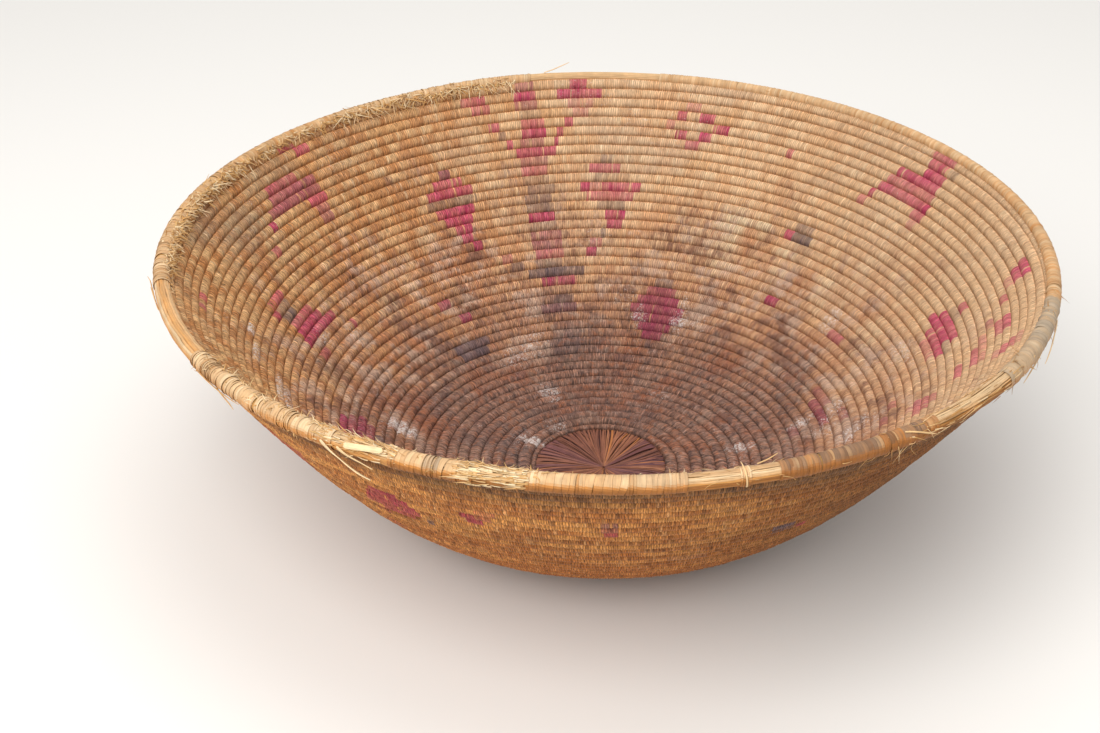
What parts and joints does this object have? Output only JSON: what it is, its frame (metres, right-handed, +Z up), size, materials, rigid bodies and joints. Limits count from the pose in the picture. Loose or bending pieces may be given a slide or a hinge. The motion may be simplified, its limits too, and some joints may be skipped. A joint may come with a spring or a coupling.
{
  "type": "gathering basket",
  "caption": "Wide flaring coiled basket with a radiating straw start in the floor and a thick rim whose wrapping is partly worn away.",
  "frame": {"origin": "on the surface that the basket stands on, under the middle of the bowl", "axes": "+Z up out of the bowl's mouth; the worn front of the rim, with its loose strip ends, faces -Y"},
  "size_m": [0.6728, 0.6717, 0.2212],
  "materials": {
    "wall_coil": "matte wrapped plant fibre",
    "floor_coil": "matte, stained wrapped plant fibre",
    "start_straw": "dyed dry straw",
    "rim_straw": "pale dry straw",
    "rim_strip": "satin dry leaf strip"
  },
  "bodies": {
    "root": {"coil_floor": "floor_coil", "coil_belly": "wall_coil", "coil_wall": "wall_coil", "rim_bundle": "rim_straw", "rim_tie": "rim_strip", "start_knot": "start_straw", "start_straws_01": "start_straw", "start_straws_02": "start_straw", "start_straws_03": "start_straw", "start_straws_04": "start_straw", "start_straws_05": "start_straw", "start_straws_06": "start_straw", "start_straws_07": "start_straw", "start_straws_08": "start_straw", "start_straws_09": "start_straw", "start_straws_10": "start_straw", "start_straws_11": "start_straw", "start_straws_12": "start_straw", "start_straws_13": "start_straw", "start_straws_14": "start_straw", "start_straws_15": "start_straw", "start_straws_16": "start_straw", "start_straws_17": "start_straw", "start_straws_18": "start_straw", "start_straws_19": "start_straw", "start_straws_20": "start_straw", "start_straws_21": "start_straw", "start_straws_22": "start_straw", "start_straws_23": "start_straw", "start_straws_24": "start_straw", "rim_wrap_01": "rim_strip", "rim_wrap_02": "rim_strip", "rim_wrap_03": "rim_strip", "rim_wrap_04": "rim_strip", "rim_wrap_05": "rim_strip", "rim_wrap_06": "rim_strip", "rim_wrap_07": "rim_strip", "rim_wrap_08": "rim_strip", "rim_wrap_09": "rim_strip", "rim_wrap_10": "rim_strip", "rim_wrap_11": "rim_strip", "rim_wrap_12": "rim_strip", "rim_wrap_13": "rim_strip", "broken_strip": "rim_strip", "loose_strip_long": "rim_strip", "loose_strip_short": "rim_strip", "rim_straw_01": "rim_straw", "rim_straw_02": "rim_straw", "rim_straw_03": "rim_straw", "rim_straw_04": "rim_straw", "rim_straw_05": "rim_straw", "rim_straw_06": "rim_straw", "rim_straw_07": "rim_straw", "rim_straw_08": "rim_straw", "rim_straw_09": "rim_straw", "rim_straw_10": "rim_straw"}
  },
  "joints": []
}
